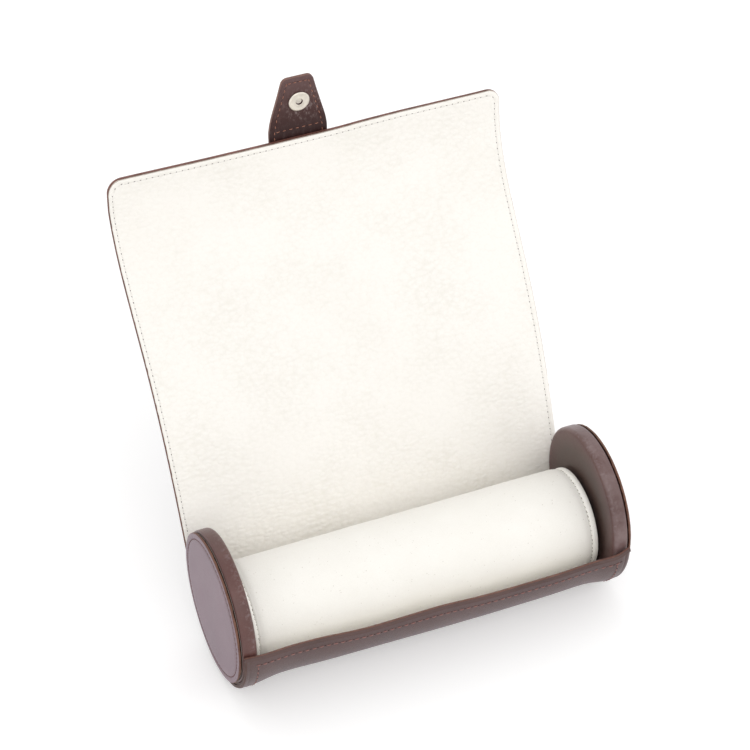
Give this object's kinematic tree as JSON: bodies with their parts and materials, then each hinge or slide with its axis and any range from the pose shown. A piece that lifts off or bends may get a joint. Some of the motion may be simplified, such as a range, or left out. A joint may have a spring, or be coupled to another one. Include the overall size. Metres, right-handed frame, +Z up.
{
  "type": "watch travel case",
  "caption": "Round leather travel roll for watches with stiff round ends, a fixed tray, a removable round pillow and a long wrap-round flap that closes with a magnetic snap tab.",
  "frame": {"origin": "on the surface that the case lies on, halfway along the roll and straight below its axis", "axes": "+X along the roll to the right end, +Y to the back, where the flap leaves the tray, +Z up"},
  "size_m": [0.2092, 0.1812, 0.242],
  "materials": {
    "end_board": "stiff grey board, hidden",
    "rim_leather": "smooth dark brown leather, satin",
    "face_leather": "smooth dark brown leather, satin, soft sheen",
    "shell_leather": "smooth dark brown leather, satin, painted edges",
    "lining": "cream lining leather, fine pebbled grain, matt",
    "tab_leather": "dark reddish brown leather, satin",
    "snap_metal": "polished nickel plate",
    "washer_steel": "plain steel, hidden",
    "magnet": "plain, hidden in the socket",
    "pillow_cover": "cream leather, fine grain, matt",
    "pillow_foam": "soft foam, hidden in the cover"
  },
  "bodies": {
    "case": {"left_end_core": "end_board", "left_end_cover": "rim_leather", "left_end_face": "face_leather", "right_end_core": "end_board", "right_end_cover": "rim_leather", "right_end_face": "face_leather", "tray_leather": "shell_leather", "tray_lining": "lining", "snap_stud": "snap_metal", "stud_washer": "washer_steel"},
    "flap_01": {"flap_leather_01": "shell_leather", "flap_lining_01": "lining"},
    "flap_02": {"flap_leather_02": "shell_leather", "flap_lining_02": "lining"},
    "flap_03": {"flap_leather_03": "shell_leather", "flap_lining_03": "lining"},
    "flap_04": {"flap_leather_04": "shell_leather", "flap_lining_04": "lining"},
    "flap_05": {"flap_leather_05": "shell_leather", "flap_lining_05": "lining"},
    "flap_06": {"flap_leather_06": "shell_leather", "flap_lining_06": "lining"},
    "flap_07": {"flap_leather_07": "shell_leather", "flap_lining_07": "lining"},
    "flap_08": {"flap_leather_08": "shell_leather", "flap_lining_08": "lining"},
    "flap_09": {"flap_leather_09": "shell_leather", "flap_lining_09": "lining"},
    "flap_10": {"flap_leather_10": "shell_leather", "flap_lining_10": "lining"},
    "flap_11": {"flap_leather_11": "shell_leather", "flap_lining_11": "lining"},
    "flap_12": {"flap_leather_12": "shell_leather", "flap_lining_12": "lining", "tab_outer_root": "tab_leather", "tab_inner_root": "tab_leather"},
    "tab_neck": {"tab_outer_neck": "tab_leather", "tab_inner_neck": "tab_leather"},
    "tab_tip": {"tab_outer_tip": "tab_leather", "tab_inner_tip": "tab_leather", "snap_socket": "snap_metal", "socket_magnet": "magnet", "socket_washer": "washer_steel"},
    "pillow": {"pillow_core": "pillow_foam", "pillow_cover": "pillow_cover", "pillow_left_end": "pillow_cover", "pillow_right_end": "pillow_cover"}
  },
  "joints": [
    {"name": "flap_root_curl", "type": "hinge", "parent": "case", "child": "flap_01", "pos_m": [0, 0.03871, 0.03272], "axis": [-1, 0, 0], "range_deg": [-23.61, 8]},
    {"name": "flap_fold_02", "type": "hinge", "parent": "flap_01", "child": "flap_02", "pos_m": [0, 0.04559, 0.04804], "axis": [-1, 0, 0], "range_deg": [-25.73, 8.73]},
    {"name": "flap_fold_03", "type": "hinge", "parent": "flap_02", "child": "flap_03", "pos_m": [0, 0.05282, 0.06321], "axis": [-1, 0, 0], "range_deg": [-26.64, 9.04]},
    {"name": "flap_fold_04", "type": "hinge", "parent": "flap_03", "child": "flap_04", "pos_m": [0, 0.06061, 0.07809], "axis": [-1, 0, 0], "range_deg": [-27.17, 9.22]},
    {"name": "flap_fold_05", "type": "hinge", "parent": "flap_04", "child": "flap_05", "pos_m": [0, 0.0691, 0.09259], "axis": [-1, 0, 0], "range_deg": [-27.32, 9.27]},
    {"name": "flap_fold_06", "type": "hinge", "parent": "flap_05", "child": "flap_06", "pos_m": [0, 0.0783, 0.10665], "axis": [-1, 0, 0], "range_deg": [-27.09, 9.19]},
    {"name": "flap_tip_curl", "type": "hinge", "parent": "flap_06", "child": "flap_07", "pos_m": [0, 0.08814, 0.12026], "axis": [-1, 0, 0], "range_deg": [-26.46, 8]},
    {"name": "flap_fold_08", "type": "hinge", "parent": "flap_07", "child": "flap_08", "pos_m": [0, 0.09846, 0.13352], "axis": [-1, 0, 0], "range_deg": [-14.84, 4.5]},
    {"name": "flap_fold_09", "type": "hinge", "parent": "flap_08", "child": "flap_09", "pos_m": [0, 0.10902, 0.14659], "axis": [-1, 0, 0], "range_deg": [-31.89, 9.65]},
    {"name": "flap_fold_10", "type": "hinge", "parent": "flap_09", "child": "flap_10", "pos_m": [0, 0.11932, 0.15986], "axis": [-1, 0, 0], "range_deg": [-14.81, 4.49]},
    {"name": "flap_fold_11", "type": "hinge", "parent": "flap_10", "child": "flap_11", "pos_m": [0, 0.1277, 0.17442], "axis": [-1, 0, 0], "range_deg": [-10.86, 3.3]},
    {"name": "flap_fold_12", "type": "hinge", "parent": "flap_11", "child": "flap_12", "pos_m": [0, 0.13292, 0.19039], "axis": [-1, 0, 0], "range_deg": [-7.96, 2.42]},
    {"name": "tab_bend", "type": "hinge", "parent": "flap_12", "child": "tab_neck", "pos_m": [0, 0.13692, 0.20779], "axis": [-1, 0, 0], "range_deg": [-25.98, 12]},
    {"name": "tab_tip_bend", "type": "hinge", "parent": "tab_neck", "child": "tab_tip", "pos_m": [0, 0.13728, 0.21798], "axis": [-1, 0, 0], "range_deg": [-3.61, 12]},
    {"name": "pillow_lift", "type": "slide", "parent": "case", "child": "pillow", "axis": [0, 0, 1], "range_m": [0, 0.085]}
  ],
  "couplings": [
    {"joint": "flap_fold_02", "follows": "flap_root_curl", "ratio": 1.0888},
    {"joint": "flap_fold_03", "follows": "flap_root_curl", "ratio": 1.1274},
    {"joint": "flap_fold_04", "follows": "flap_root_curl", "ratio": 1.1499},
    {"joint": "flap_fold_05", "follows": "flap_root_curl", "ratio": 1.1563},
    {"joint": "flap_fold_06", "follows": "flap_root_curl", "ratio": 1.1467},
    {"joint": "flap_fold_08", "follows": "flap_tip_curl", "ratio": 0.55999},
    {"joint": "flap_fold_09", "follows": "flap_tip_curl", "ratio": 1.2041},
    {"joint": "flap_fold_10", "follows": "flap_tip_curl", "ratio": 0.5588},
    {"joint": "flap_fold_11", "follows": "flap_tip_curl", "ratio": 0.40956},
    {"joint": "flap_fold_12", "follows": "flap_tip_curl", "ratio": 0.29992}
  ]
}
